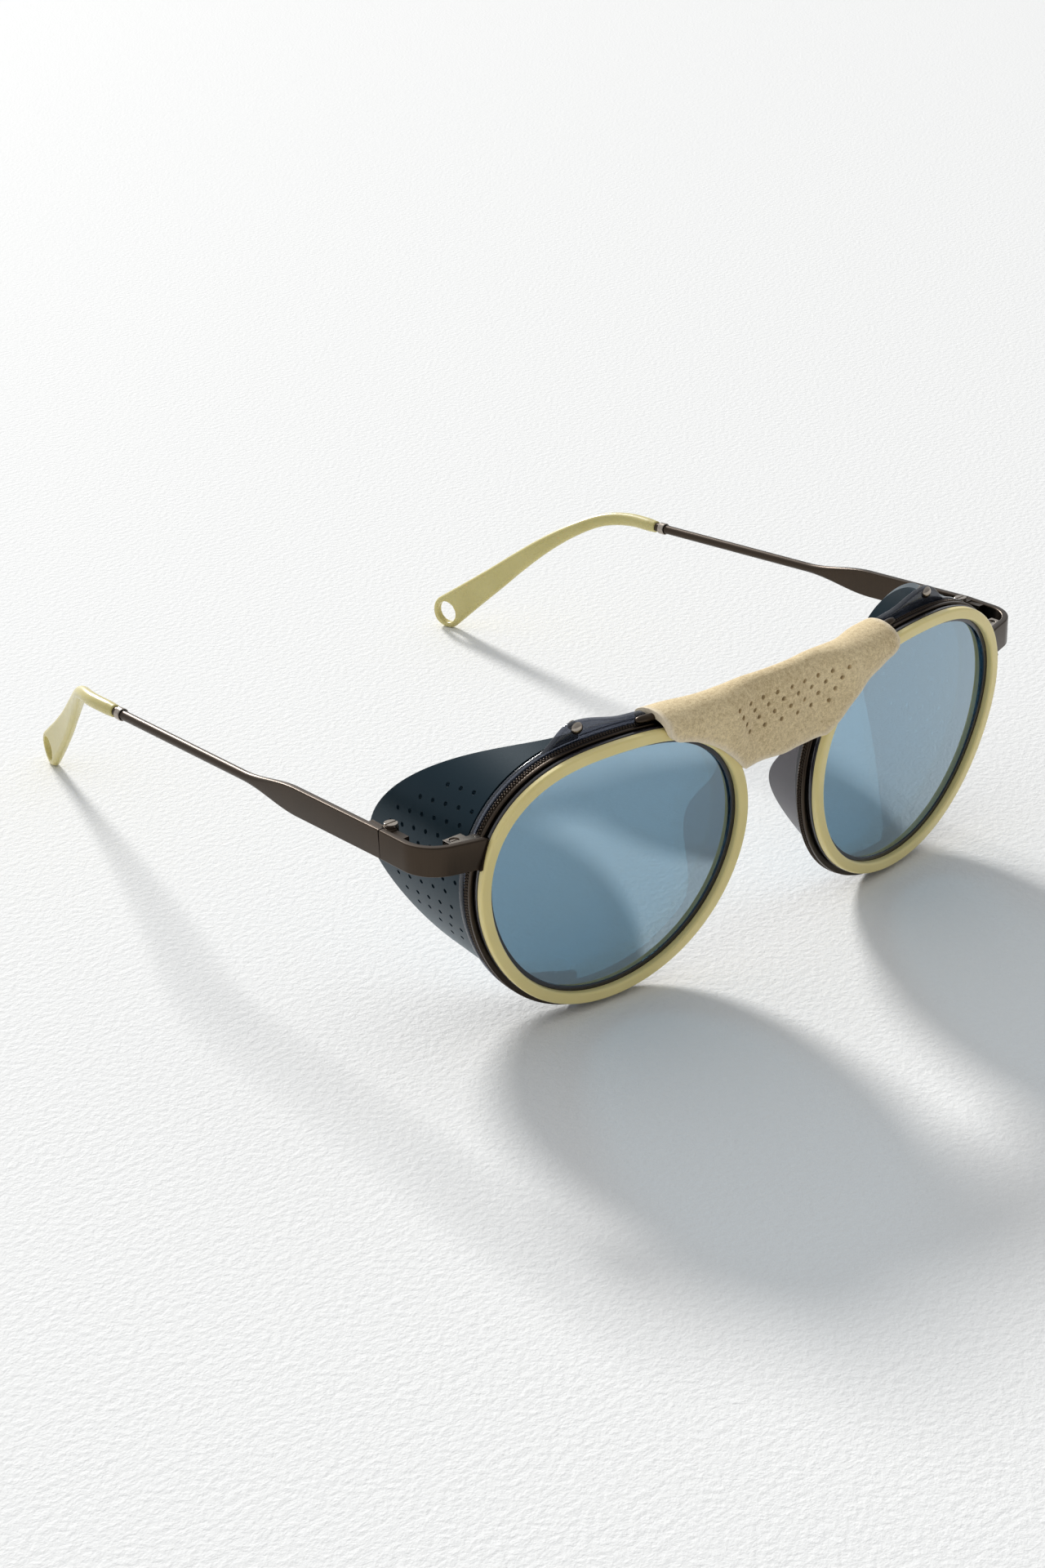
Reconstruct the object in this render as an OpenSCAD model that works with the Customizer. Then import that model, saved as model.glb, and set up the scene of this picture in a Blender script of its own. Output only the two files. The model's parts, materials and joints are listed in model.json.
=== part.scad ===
// Glacier glasses with round lenses, side shields and folding temples.
// Millimetres. The wearer looks along -Y, +Z is up and the wearer's left is +X.
// Each side piece is drawn on the left and mirrored for the right.

/* [Lens outline] */
// Mean radius of the front ring's outside
ring_r = 26; // [25:0.5:27]
// How much wider than tall the lens outline is
oval = 0.048; // [0.03:0.002:0.06]
// How much the outline fills out at the top corner and narrows below
pear = 0.036; // [0.02:0.002:0.05]
// How square the outline is
square_off = 0.012; // [0:0.002:0.02]
// Small lean of the outline towards the temple
lean_off = 0.004; // [0:0.002:0.008]

/* [Front] */
// Distance from the middle of the glasses to a lens centre
lens_x = 35.1; // [34.6:0.1:35.6]
// Height of the lens centres over the table
lens_z = 26.37; // [26.37:0.01:26.8]
// Angle by which each lens wraps towards the temple
wrap = 6.4; // [5:0.2:8]
// Forward tilt of the top of the lenses
tilt = 5; // [4:0.2:6]
// Width of the cream front ring
front_w = 2.1; // [1.8:0.1:2.4]
// Thickness of the cream front ring
front_t = 1.2; // [1:0.1:1.4]
// Radius of curvature of the lenses
lens_curve = 160; // [140:5:200]
// Thickness of the lenses
lens_t = 1.8; // [1.6:0.1:2]

/* [Shields] */
// Greatest depth of a side wing behind its carrier
wing_depth = 25.6; // [24:0.1:26.4]
// How far the wing leans outwards for each millimetre of depth
wing_flare = 0.05; // [0:0.01:0.08]
// Thickness of the wing
wing_t = 0.9; // [0.7:0.1:1]

/* [Nose] */
// Half width of the nose cover
cover_half = 27.3; // [26:0.1:27.5]
// Thickness of the suede
cover_t = 1.3; // [1:0.1:1.5]
// Depth of the moulded nose flange
flange_len = 7; // [5:0.5:8]

/* [Temples] */
// Height of the end pieces and of the temple plates
plate_h = 5.2; // [4.8:0.1:5.4]
// Thickness of the temple plates
plate_t = 1.25; // [1:0.05:1.3]
// Radius of the temple wire
wire_r = 0.9; // [0.8:0.05:1]
// Radius of the eyelet in each tip
eyelet_r = 2.5; // [2:0.1:2.7]
// Backward lean of the left hinge, which lifts its folded temple over the other
left_lean = 3; // [2.5:0.1:3.5]

/* [Hidden] */
$fn = 48;

cream = [0.78, 0.72, 0.48];
bronze = [0.36, 0.31, 0.27];
steel = [0.62, 0.60, 0.58];
smoke = [0.16, 0.16, 0.18];
navy = [0.16, 0.20, 0.28];
slate = [0.24, 0.31, 0.36];
glass_blue = [0.38, 0.53, 0.66];
suede = [0.76, 0.68, 0.52];

// The origin is under the middle of the whole part
mid_y = 72.48;
// Depths behind the plane of the cream ring's back face
smoke_lip = 0.8;
wire_from = 1.1;
wire_to = 2.7;
carrier_from = 3.0;
carrier_to = 4.2;
seat_from = 2.8;
inner_to = 4.1;
// Offsets of the layers from the ring outline, outwards
wire_off = 0.35;
wire_in = -0.45;
low_extra = 0.85;
carrier_off = 0.5;
wing_off = 0.2;
lens_off = -1.2;
// Gap between a lens or a screw and what holds it
fit_gap = 0.08;
// Hinge axis and the split between end piece and temple
hinge_x = 68.3;
hinge_y = 16.15;
hinge_z = lens_z + 10.3;
split_gap = 0.1;
barrel_r = 1.25;
pin_r = 0.55;
knuckle_h = 1.65;
leaf_x = 69.65;
// Outside of the end piece: a flange, a bend and a straight run to the hinge
end_x = 70.9;
bend_r = 7;
flange_a = 17;
flange_len_x = 6.6;
// Slope of the temple bar inwards and downwards for each millimetre backwards
bar_in = 0.0375;
bar_down = 0.047;
wire_end_y = 97;
tip_w = 3.75;
steps = 90;

// Radius of the ring outline at angle a, measured from the temple side upwards
function rim_r(a) = ring_r * (1 + oval * cos(2 * a) + lean_off * sin(2 * a)
    + pear * sin(3 * a) - square_off * cos(4 * a) + lean_off * sin(4 * a));
function rim_slope(a) = ring_r * (-2 * oval * sin(2 * a) + 2 * lean_off * cos(2 * a)
    + 3 * pear * cos(3 * a) + 4 * square_off * sin(4 * a) + 4 * lean_off * cos(4 * a));
// Outward normal of the outline, and a point at an offset from it
function rim_normal(a) = let (t = [
        rim_slope(a) * cos(a) - rim_r(a) * sin(a),
        rim_slope(a) * sin(a) + rim_r(a) * cos(a)
    ]) [t[1], -t[0]] / norm(t);
function rim_pt(a, off) = rim_r(a) * [cos(a), sin(a)] + off * rim_normal(a);
function rim_loop(off, low) = [
    for (i = [0:steps - 1]) let (a = 360 * i / steps) rim_pt(a, off + low * (1 - sin(a)) / 2)
];
// From the shared plane of both lenses to the glasses, and from one lens to that plane
function tilt_pt(p) = [p[0], p[1] * cos(tilt) - p[2] * sin(tilt), p[1] * sin(tilt) + p[2] * cos(tilt) + lens_z];
function wrap_pt(u, d, v) = [lens_x + u * cos(wrap) - d * sin(wrap), u * sin(wrap) + d * cos(wrap), v];
function lens_pt(u, d, v) = tilt_pt(wrap_pt(u, d, v));
function rim_at(a, off, d) = let (p = rim_pt(a, off)) lens_pt(p[0], d, p[1]);
function smooth(x) = let (c = max(0, min(1, x))) c * c * (3 - 2 * c);
function mix(a, b, t) = a + (b - a) * t;

module left() translate([0, -mid_y, 0]) children();
module right() mirror([1, 0, 0]) left() children();

module in_lens() {
    translate([0, 0, lens_z]) rotate([tilt, 0, 0]) translate([lens_x, 0, 0]) rotate([0, 0, wrap]) children();
}

// A flat outline in the lens plane, given thickness from one depth to another
module slab(from, to) {
    translate([0, to, 0]) rotate([90, 0, 0]) linear_extrude(to - from) children();
}

module rim_band(from, to, off_in, off_out, low = 0) {
    in_lens() slab(from, to) difference() {
        polygon(rim_loop(off_out, low));
        polygon(rim_loop(off_in, 0));
    }
}

module rim_block(from, to, off, low = 0) {
    in_lens() slab(from, to) polygon(rim_loop(off, low));
}

function flat(rows) = [for (r = rows) each r];

// A solid between closed rings of points, with flat ends
module skin(rings) {
    n = len(rings[0]);
    m = len(rings);
    last = (m - 1) * n;
    polyhedron(flat(rings), concat(
        [for (i = [1:n - 2]) [0, i + 1, i]],
        [for (i = [1:n - 2]) [last, last + i, last + i + 1]],
        [for (k = [0:m - 2], i = [0:n - 1], h = [0, 1]) let (
            j = (i + 1) % n, a = k * n + i, b = k * n + j
        ) h == 0 ? [a, b + n, a + n] : [a, b, b + n]]
    ));
}

// A sheet between two grids of points, closed round its edges
module sheet(face, back) {
    m = len(face);
    n = len(face[0]);
    s = m * n;
    edge = concat([for (i = [0:n - 2]) i], [for (k = [0:m - 2]) k * n + n - 1],
        [for (i = [0:n - 2]) m * n - 1 - i], [for (k = [0:m - 2]) (m - 1 - k) * n]);
    count = len(edge);
    polyhedron(concat(flat(face), flat(back)), concat(
        [for (k = [0:m - 2], i = [0:n - 2], h = [0, 1]) let (a = k * n + i)
            h == 0 ? [a, a + 1, a + n + 1] : [a, a + n + 1, a + n]],
        [for (k = [0:m - 2], i = [0:n - 2], h = [0, 1]) let (a = s + k * n + i)
            h == 0 ? [a, a + n + 1, a + 1] : [a, a + n, a + n + 1]],
        [for (e = [0:count - 1], h = [0, 1]) let (a = edge[e], b = edge[(e + 1) % count])
            h == 0 ? [a, a + s, b + s] : [a, b + s, b]]
    ));
}

// Moulded ring that frames the lens from the front, with a rounded face
module front_rim() color(cream) {
    round_in = 0.35;
    rim_band(-front_t, round_in - front_t, -front_w + round_in, -round_in);
    rim_band(round_in - front_t, 0, -front_w, 0);
}

module lens() color(glass_blue) {
    apex = -1.4;
    intersection() {
        rim_block(-3, 4, lens_off);
        in_lens() translate([0, apex + lens_curve, 0]) difference() {
            sphere(lens_curve, $fn = 96);
            sphere(lens_curve - lens_t, $fn = 96);
        }
    }
}

// Smoke rim that the lens sits in: a lip behind the cream ring, a wall and a back seat
module inner_rim() color(smoke) {
    wall_in = lens_off + fit_gap;
    rim_band(0, smoke_lip, wall_in, 0.1);
    rim_band(smoke_lip, seat_from, wall_in, wire_in);
    rim_band(seat_from, inner_to, -2.7, wire_in);
}

slit = 0.3;
slit_z = hinge_z;

module eyewire() color(bronze) difference() {
    rim_band(wire_from, wire_to, wire_in, wire_off, low_extra);
    translate([lens_x + 20, -5, slit_z - slit / 2]) cube([12, 20, slit]);
}

rim_screw_xy = [64.2, 5.35];

// Two halves brazed to the ends of the eyewire and drawn together by a screw
module closing_block() color(steel) difference() {
    translate([0, 0, slit_z - plate_h / 2 + 0.1]) linear_extrude(plate_h - 0.2) polygon([
        [59, flange_y(59)], [65.7, flange_y(65.7)], [65.7, 6.4], [62.1, 6.4], [62.1, 4.9], [59, 4.9]
    ]);
    rim_block(-4, wire_to + 0.15, wire_off, low_extra);
    rim_block(wire_to, 6, carrier_off + 0.2, low_extra);
    translate([50, -5, slit_z - slit / 2]) cube([20, 20, slit]);
    translate([rim_screw_xy[0], rim_screw_xy[1], 30]) cylinder(h = 20, r = 0.5 + fit_gap);
    translate([rim_screw_xy[0], rim_screw_xy[1], slit_z + plate_h / 2 - 0.8]) cylinder(h = 2, r = 0.85);
}

module rim_screw() color(steel) {
    top = slit_z + plate_h / 2 - 0.8;
    translate([rim_screw_xy[0], rim_screw_xy[1], top - 4]) cylinder(h = 4, r = 0.5);
    translate([rim_screw_xy[0], rim_screw_xy[1], top]) difference() {
        cylinder(h = 0.5, r = 0.77);
        translate([-1, -0.12, 0.25]) cube([2, 0.24, 1]);
    }
}

bend_c = [end_x - bend_r, 10.1];
bend_start = bend_c + bend_r * [sin(flange_a), -cos(flange_a)];
// Inner face of the flange at x
function flange_y(x) = bend_start[1] + (x - bend_start[0]) * tan(flange_a) + plate_t / cos(flange_a);

// Bent plate from the rim round the corner to the hinge
module end_piece() color(bronze) difference() {
    translate([0, 0, slit_z - plate_h / 2]) linear_extrude(plate_h) {
        translate(bend_start) rotate(flange_a) translate([-flange_len_x, 0])
            square([flange_len_x + 0.01, plate_t]);
        intersection() {
            translate(bend_c) difference() {
                circle(bend_r, $fn = 96);
                circle(bend_r - plate_t, $fn = 96);
            }
            polygon([bend_c, bend_c + 20 * [sin(flange_a), -cos(flange_a)], bend_c + [20, -20], bend_c + [20, 0]]);
        }
        translate([end_x - plate_t, bend_c[1] - 0.01])
            square([plate_t, hinge_y - split_gap - bend_c[1] + 0.01]);
    }
    rim_block(-4, 5, wire_off, low_extra);
}

// Turns a hinge about its middle, for the lean of its axis
module leaned(lean) {
    translate([hinge_x, hinge_y, hinge_z]) rotate([-lean, 0, 0]) translate([-hinge_x, -hinge_y, -hinge_z]) children();
}

module knuckle(z) {
    translate([hinge_x, hinge_y, hinge_z + z]) cylinder(h = knuckle_h, r = barrel_r);
}

// Leaf on the end piece with an upper and a lower knuckle
module front_hinge(lean) color(steel) leaned(lean) difference() {
    union() {
        translate([hinge_x, hinge_y - 4.6, hinge_z - 2.3]) cube([leaf_x - hinge_x, 3.1, 4.6]);
        for (z = [0.85, -0.85 - knuckle_h]) {
            knuckle(z);
            translate([hinge_x, hinge_y - 1.6, hinge_z + z]) cube([leaf_x - hinge_x, 1.6 - split_gap, knuckle_h]);
        }
    }
    translate([hinge_x, hinge_y, hinge_z - 5]) cylinder(h = 10, r = pin_r + 0.02);
}

// Leaf on the temple with the middle knuckle, a little clear of the slanted plate
module temple_hinge(lean) color(steel) leaned(lean) difference() {
    leaf_w = leaf_x - hinge_x - 0.22;
    union() {
        translate([hinge_x, hinge_y + 1.5, hinge_z - 2.2]) cube([leaf_w, 3.3, 4.2]);
        translate([hinge_x, hinge_y, hinge_z - 0.77]) cylinder(h = 1.54, r = barrel_r);
        translate([hinge_x, hinge_y + split_gap, hinge_z - 0.77]) cube([leaf_w, 1.6, 1.54]);
    }
    translate([hinge_x, hinge_y, hinge_z - 5]) cylinder(h = 10, r = pin_r + fit_gap);
}

module hinge_screw(lean) color(steel) leaned(lean) {
    top = 0.85 + knuckle_h;
    translate([hinge_x, hinge_y, hinge_z - top]) cylinder(h = 2 * top, r = pin_r);
    translate([hinge_x, hinge_y, hinge_z + top]) difference() {
        cylinder(h = 0.6, r = 1.15);
        translate([-1.5, -0.15, 0.3]) cube([3, 0.3, 1]);
    }
}

// Offset of the carrier's outer edge: a tab near the top carries the pin
function tab(a) = 3.1 * smooth((a - 52) / 20) * (1 - 0.6 * smooth((a - 74) / 26));
function carrier_out(a) = carrier_off + low_extra * (1 - sin(a)) / 2 + tab(a);
// Offset of the inner edge, which widens into a rounded lobe below
function carrier_in(a) = -1.6 - 2.3 * smooth((-30 - a) / 35);
carrier_a = [-82, 108];

// Translucent band behind the eyewire, open towards the nose
module shield_carrier() color(navy) {
    n = 48;
    angles = [for (i = [0:n]) mix(carrier_a[0], carrier_a[1], i / n)];
    in_lens() difference() {
        slab(carrier_from, carrier_to) difference() {
            polygon(concat([for (a = angles) rim_pt(a, carrier_out(a))],
                [for (i = [0:n]) rim_pt(angles[n - i], carrier_in(angles[n - i]))]));
            polygon(rim_loop(wire_in + fit_gap, 0));
        }
        pin_holes();
    }
    in_lens() slab(inner_to + 0.02, carrier_to + 0.6)
        polygon(concat([for (a = angles) rim_pt(a, 0)],
            [for (i = [0:n]) rim_pt(angles[n - i], carrier_in(angles[n - i]))]));
}

pin_a = 74.5;

module at_pin() {
    p = rim_pt(pin_a, 2.6);
    translate([p[0], 0, p[1]]) rotate([-90, 0, 0]) children();
}

module pin_holes() at_pin() cylinder(h = 9, r = 0.45);

// Domed pin that fixes the wing to the carrier's tab
module shield_pin() color(steel) in_lens() at_pin() {
    translate([0, 0, carrier_from - 0.5]) cylinder(h = 0.5, r1 = 0.5, r2 = 1.05);
    translate([0, 0, carrier_from]) cylinder(h = carrier_to - carrier_from, r = 0.43);
    translate([0, 0, carrier_to]) cylinder(h = 0.3, r = 0.8);
}

// Depth of the wing behind the carrier at angle a: longest beside the temple
wing_a = [-77, 78];
wing_peak = -3;
wing_fade = 76;
wing_from = 4.85;
function rounded_ramp(x) = (sqrt(x * x + 0.01) - 0.1) / (sqrt(1.01) - 0.1);
function wing_len(a) = 1 + (wing_depth - 1) * (a < wing_peak
    ? 1 - rounded_ramp((wing_peak - a) / (wing_peak - wing_a[0]))
    : 0.5 + 0.5 * cos(180 * min(1, (a - wing_peak) / (wing_fade - wing_peak))));
function wing_at(a, t, off) = let (s = t * wing_len(a)) rim_at(a, off + wing_flare * s, wing_from + s);

// Flexible wing that closes the gap beside the eye
module shield_wing() color(slate) {
    rows = 26;
    cols = 6;
    sides = [for (off = [wing_off, wing_off - wing_t]) [for (i = [0:rows]) [for (j = [0:cols])
        wing_at(mix(wing_a[0], wing_a[1], i / rows), j / cols, off)]]];
    sheet(sides[1], sides[0]);
}

// Moulded flange that rests on the side of the nose
flange_span = [154, 222];
flange_t = 1.1;
function flange_back(a) = 0.3 + flange_len * pow(sin(180 * (a - flange_span[0]) / (flange_span[1] - flange_span[0])), 2);
function flange_at(a, t, off) = let (s = t * flange_back(a)) rim_at(a, off - 0.22 * s, inner_to + 0.02 + s);

module nose_flange() color(smoke) {
    rows = 20;
    cols = 4;
    sides = [for (off = [-0.8, -0.8 - flange_t]) [for (i = [0:rows]) [for (j = [0:cols])
        flange_at(mix(flange_span[0], flange_span[1], i / rows), j / cols, off)]]];
    sheet(sides[1], sides[0]);
}

// A round bar along a path that is mirrored about the middle
function ring_on(p, dir, r, n) = let (
    side = [dir[1], -dir[0], 0] / norm([dir[0], dir[1]]), up = cross(side, dir)
) [for (i = [0:n - 1]) p + r * (cos(360 * i / n) * side + sin(360 * i / n) * up)];
function heading(path, i) = let (
    a = path[max(0, i - 1)], b = path[min(len(path) - 1, i + 1)]
) (b - a) / norm(b - a);
module bar(path, r, n) skin([for (i = [0:len(path) - 1]) ring_on(path[i], heading(path, i), r, n)]);
function flip_x(p) = [-p[0], p[1], p[2]];
function both(half) = concat([for (i = [0:len(half) - 1]) flip_x(half[i])], [for (i = [len(half) - 1:-1:0]) half[i]]);

bar_r = 0.75;
wire_mid = (wire_from + wire_to) / 2;

// Bar that lies along the tops of both eyewires and crosses above the nose
module brow_bar() color(bronze) translate([0, -mid_y, 0]) {
    along = [for (a = [100:4:124]) rim_at(a, wire_off + low_extra * (1 - sin(a)) / 2 + bar_r, wire_mid)];
    bar(both(concat(along, [tilt_pt([12, -1.2, 22.2]), tilt_pt([6, -1.6, 22.3]), tilt_pt([1.5, -1.6, 22.3])])), bar_r, 12);
}

// Arch that joins the eyewires beside the nose
module nose_bridge() color(bronze) translate([0, -mid_y, 0]) difference() {
    bar(both([
        rim_at(150, -0.2, wire_mid), rim_at(150, 1.2, wire_mid),
        tilt_pt([6.5, -1.2, 16.6]), tilt_pt([3, -1.4, 17.9]), tilt_pt([1, -1.4, 18.2])
    ]), 0.9, 12);
    for (m = [0, 1]) mirror([m, 0, 0]) rim_block(-1, 5, wire_off, low_extra);
}

// Profile of the folded suede at x: front edge, front, fold, back, back edge
function cover_w(x) = pow(max(0, min(1, (27.5 - abs(x)) / 19.3)), 2);
function cover_low(x) = 9.7 + 11.3 * (1 - cover_w(x));
function cover_back(x) = 13.5 + 8 * (1 - cover_w(x));
function cover_top(x) = mix(23.4, 25.3, smooth((abs(x) - 6) / 14));
function cover_y(x, d) = (sqrt(x * x + 16) - lens_x) * tan(wrap) + d;
fold_cols = 8;
function cover_row(x, out) = let (
    yf = cover_y(x, -front_t - 0.3), yb = cover_y(x, carrier_to + 1), mid = (yf + yb) / 2,
    top = cover_top(x), rise = 1.6
) concat(
    [for (t = [0:0.25:0.75]) tilt_pt([x, yf - out, mix(cover_low(x), top - rise, t)])],
    [for (i = [0:fold_cols]) let (a = 180 - 180 * i / fold_cols)
        tilt_pt([x, mid + ((yb - yf) / 2 + out) * cos(a), top - rise + (rise + out) * sin(a)])],
    [for (t = [0.25:0.25:1]) tilt_pt([x, yb + out, mix(top - rise, cover_back(x), t)])]
);

module nose_cover() color(suede) translate([0, -mid_y, 0]) {
    n = 32;
    sheet([for (i = [0:n]) cover_row(mix(-cover_half, cover_half, i / n), cover_t)],
        [for (i = [0:n]) cover_row(mix(-cover_half, cover_half, i / n), 0)]);
}

// Heights and depths of the temple bar at y
function bar_x(y) = end_x - plate_t / 2 - bar_in * (y - hinge_y);
function bar_z(y) = hinge_z - bar_down * (y - hinge_y);
function soft_box(p, a, b, power, n) = [for (i = [0:n - 1]) let (
    t = 360 * (i + 0.5) / n, c = cos(t), s = sin(t)
) p + [a * sign(c) * pow(abs(c), 2 / power), 0, b * sign(s) * pow(abs(s), 2 / power)]];

core_r = 0.7;
core_end = 105;

// Plate at the hinge that narrows into a wire, whose end reaches into the tip
module temple() color(bronze) {
    start = hinge_y + split_gap;
    rings = concat(
        [for (y = [start, 22, 32, 40]) [y, plate_t / 2, plate_h / 2, 9]],
        [for (i = [1:8]) let (k = smooth(i / 8)) [
            40 + 2 * i, mix(plate_t / 2, wire_r, k), mix(plate_h / 2, wire_r, k), mix(9, 2, smooth(i / 4))
        ]],
        [for (y = [70, 84, wire_end_y]) [y, wire_r, wire_r, 2]],
        [[wire_end_y + 0.01, core_r, core_r, 2], [core_end, core_r, core_r, 2]]
    );
    skin([for (r = rings) soft_box([bar_x(r[0]), r[0], bar_z(r[0])], r[1], r[2], r[3], 20)]);
}

// Point on the bar, turned so that +Z runs back along it
module on_bar(y) {
    translate([bar_x(y), y, bar_z(y)]) rotate([-90 - atan(bar_down), 0, atan(bar_in)]) children();
}

module temple_collar() color(steel) on_bar(wire_end_y - 1.6) difference() {
    cylinder(h = 1.5, r = 1.2);
    translate([0, 0, -1]) cylinder(h = 4, r = wire_r + 0.03);
}

// Middle line of the tip, from the collar round the ear to the eyelet
tip_path = [
    [bar_x(98), 98, bar_z(98)], [bar_x(106), 106, bar_z(106)], [65.0, 112.5, 31.2], [62.2, 118.5, 28.2],
    [59.5, 124.5, 24.1], [57.2, 130.5, 19.3], [55.2, 136.5, 14.2], [53.3, 143, 8.9], [51.7, 149.5, 3.68]
];
tip_n = len(tip_path) - 1;
// Half thickness and half width along the tip
function tip_half(k) = [mix(1.35, 0.95, smooth((k - 0.25) / 0.5)), mix(1.35, tip_w, pow(max(0, (k - 0.3) / 0.7), 1.5))];
function spline(p, i, t) = let (
    a = p[max(0, i - 1)], b = p[i], c = p[i + 1], d = p[min(len(p) - 1, i + 2)]
) 0.5 * (2 * b + (c - a) * t + (2 * a - 5 * b + 4 * c - d) * t * t + (3 * b - a - 3 * c + d) * t * t * t);
tip_line = concat([for (i = [0:tip_n - 1], t = [0, 0.33, 0.67]) spline(tip_path, i, t)], [tip_path[tip_n]]);
eyelet_at = tip_path[tip_n];
eyelet_dir = let (h = heading(tip_path, tip_n)) [h[1], -h[0], 0] / norm([h[0], h[1]]);

module eyelet_bore() {
    translate(eyelet_at) rotate([0, 90, atan2(eyelet_dir[1], eyelet_dir[0])]) translate([0, 0, -4])
        cylinder(h = 8, r = eyelet_r);
}

// Flattened ring across the tip at a point of its middle line
function tip_ring(p, dir, h) = let (
    side = [dir[1], -dir[0], 0] / norm([dir[0], dir[1]]), up = cross(side, dir), n = 14
) [for (j = [0:n - 1]) p + h[0] * cos(360 * j / n) * side + h[1] * sin(360 * j / n) * up];

module temple_tip() color(cream) {
    end_dir = heading(tip_path, tip_n);
    last = len(tip_line) - 1;
    difference() {
        skin(concat(
            [for (i = [0:last]) tip_ring(tip_line[i], heading(tip_line, i), tip_half(i / last))],
            [for (a = [15:15:75]) tip_ring(eyelet_at + tip_w * sin(a) * end_dir, end_dir, [0.95 - a / 250, tip_w * cos(a)])]
        ));
        eyelet_bore();
        on_bar(97) cylinder(h = core_end - 97 + 0.3, r = core_r + 0.05);
    }
}

right() front_rim();  // right_front_rim
left() front_rim();  // left_front_rim
right() lens();  // right_lens
left() lens();  // left_lens
right() inner_rim();  // right_inner_rim
left() inner_rim();  // left_inner_rim
right() eyewire();  // right_eyewire
left() eyewire();  // left_eyewire
right() closing_block();  // right_closing_block
left() closing_block();  // left_closing_block
right() rim_screw();  // right_rim_screw
left() rim_screw();  // left_rim_screw
right() end_piece();  // right_end_piece
left() end_piece();  // left_end_piece
right() front_hinge(0);  // right_front_hinge
left() front_hinge(left_lean);  // left_front_hinge
right() hinge_screw(0);  // right_hinge_screw
left() hinge_screw(left_lean);  // left_hinge_screw
right() shield_carrier();  // right_shield_carrier
left() shield_carrier();  // left_shield_carrier
right() shield_wing();  // right_shield_wing
left() shield_wing();  // left_shield_wing
right() shield_pin();  // right_shield_pin
left() shield_pin();  // left_shield_pin
right() nose_flange();  // right_nose_flange
left() nose_flange();  // left_nose_flange
brow_bar();
nose_bridge();
nose_cover();
right() temple();  // right_temple
left() temple();  // left_temple
right() temple_hinge(0);  // right_temple_hinge
left() temple_hinge(left_lean);  // left_temple_hinge
right() temple_collar();  // right_temple_collar
left() temple_collar();  // left_temple_collar
right() temple_tip();  // right_temple_tip
left() temple_tip();  // left_temple_tip
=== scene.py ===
import json
import math
import bmesh
import bpy
import numpy as np
from mathutils import Matrix, Vector
from mathutils.geometry import delaunay_2d_cdt

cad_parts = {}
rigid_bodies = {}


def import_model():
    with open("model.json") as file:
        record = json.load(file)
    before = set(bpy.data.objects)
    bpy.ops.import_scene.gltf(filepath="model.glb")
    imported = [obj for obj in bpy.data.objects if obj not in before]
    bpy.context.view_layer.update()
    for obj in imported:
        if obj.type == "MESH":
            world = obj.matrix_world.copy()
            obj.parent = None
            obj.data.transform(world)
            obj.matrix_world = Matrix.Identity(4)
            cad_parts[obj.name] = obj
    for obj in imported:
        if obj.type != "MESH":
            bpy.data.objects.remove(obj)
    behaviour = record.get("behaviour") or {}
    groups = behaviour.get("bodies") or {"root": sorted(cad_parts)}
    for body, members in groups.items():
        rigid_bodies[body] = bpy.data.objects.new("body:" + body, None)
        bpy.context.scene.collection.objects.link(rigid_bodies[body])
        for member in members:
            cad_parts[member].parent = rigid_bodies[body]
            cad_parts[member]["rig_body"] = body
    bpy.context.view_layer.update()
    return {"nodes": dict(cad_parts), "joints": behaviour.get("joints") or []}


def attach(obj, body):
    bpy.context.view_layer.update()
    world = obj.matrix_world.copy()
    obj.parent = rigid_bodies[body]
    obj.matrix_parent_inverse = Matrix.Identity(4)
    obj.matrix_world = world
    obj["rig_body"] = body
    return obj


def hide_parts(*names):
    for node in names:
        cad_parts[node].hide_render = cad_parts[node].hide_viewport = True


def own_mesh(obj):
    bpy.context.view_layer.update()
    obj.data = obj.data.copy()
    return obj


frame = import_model()
print("frame loaded")

# Lengths below are in millimetres. Side pieces are worked out on the wearer's left, +X, and mirrored.
mm = 0.001
hinge = [c / mm for c in next(j for j in frame["joints"] if j["name"] == "left_temple_fold")["pos_m"]]
hingeY = 16.15  # depth of the hinge behind the front
hingeUp = 10.3  # height of the hinge above the lenses' middle
lensZ = hinge[2] - hingeUp
originY = hinge[1] - hingeY
rightLeft = (("right", -1), ("left", 1))


class Value:  # a socket that takes arithmetic
    def __init__(self, tree, socket):
        self.tree = tree
        self.socket = socket

    def sum(self, operation, first, second):
        node = self.tree.nodes.new("ShaderNodeMath")
        node.operation = operation
        link(self.tree, node.inputs[0], first)
        link(self.tree, node.inputs[1], second)
        return Value(self.tree, node.outputs[0])

    def __add__(self, other): return self.sum("ADD", self, other)
    def __radd__(self, other): return self.sum("ADD", other, self)
    def __rsub__(self, other): return self.sum("SUBTRACT", other, self)
    def __mul__(self, other): return self.sum("MULTIPLY", self, other)
    def __rmul__(self, other): return self.sum("MULTIPLY", other, self)
    def __pow__(self, other): return self.sum("POWER", self, other)


def link(tree, slot, given):
    if isinstance(given, Value):
        tree.links.new(given.socket, slot)
    else:
        slot.default_value = given


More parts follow.
